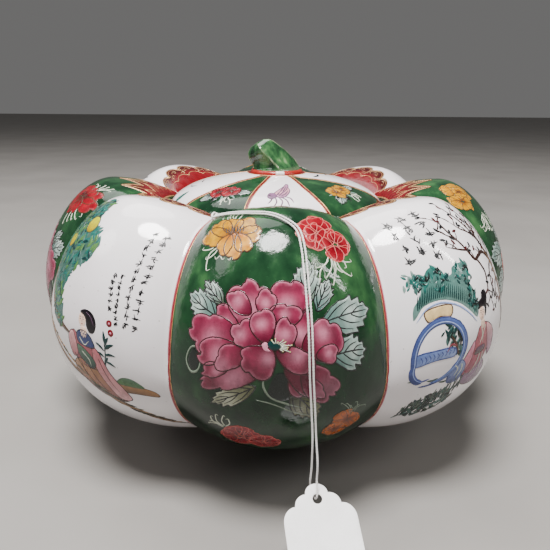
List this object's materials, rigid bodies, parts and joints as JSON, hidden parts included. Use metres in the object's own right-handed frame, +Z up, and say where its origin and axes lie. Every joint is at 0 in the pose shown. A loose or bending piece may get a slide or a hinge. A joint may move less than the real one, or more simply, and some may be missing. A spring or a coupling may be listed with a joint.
{
  "type": "lidded pumpkin jar",
  "caption": "Lidded porcelain jar shaped as a ribbed pumpkin, with painted green and white lobes, a domed lid that lifts and turns, a leaning stem knob, a turned foot and a blank strung tag.",
  "frame": {"origin": "on the jar's axis, at the plane that the foot ring stands on", "axes": "+Z up along the jar's axis, -Y towards the front, where a green lobe is centred and the tag hangs, +X to the right"},
  "size_m": [0.23, 0.2643, 0.1346],
  "materials": {
    "green_glaze": "glossy glaze with overglaze enamel painting",
    "white_glaze": "glossy white glaze with overglaze enamel painting",
    "flange_glaze": "glossy clear glaze",
    "stem_glaze": "glossy mottled green glaze",
    "bare_porcelain": "unglazed, ground smooth on the foot rim",
    "thread": "twisted cotton thread",
    "card": "uncoated white card"
  },
  "bodies": {
    "jar": {"jar_body": "green_glaze", "foot_ring": "bare_porcelain", "tag_string": "thread", "price_tag": "card"},
    "lid_seat": {"lid_flange": "flange_glaze"},
    "lid": {"lid_shell": "white_glaze", "stem": "stem_glaze"}
  },
  "joints": [
    {"name": "lid_lift", "type": "slide", "parent": "jar", "child": "lid_seat", "axis": [0, 0, 1], "range_m": [0, 0.08]},
    {"name": "lid_turn", "type": "hinge", "parent": "lid_seat", "child": "lid", "pos_m": [0, 0, 0.1], "axis": [0, 0, 1], "continuous": true}
  ]
}
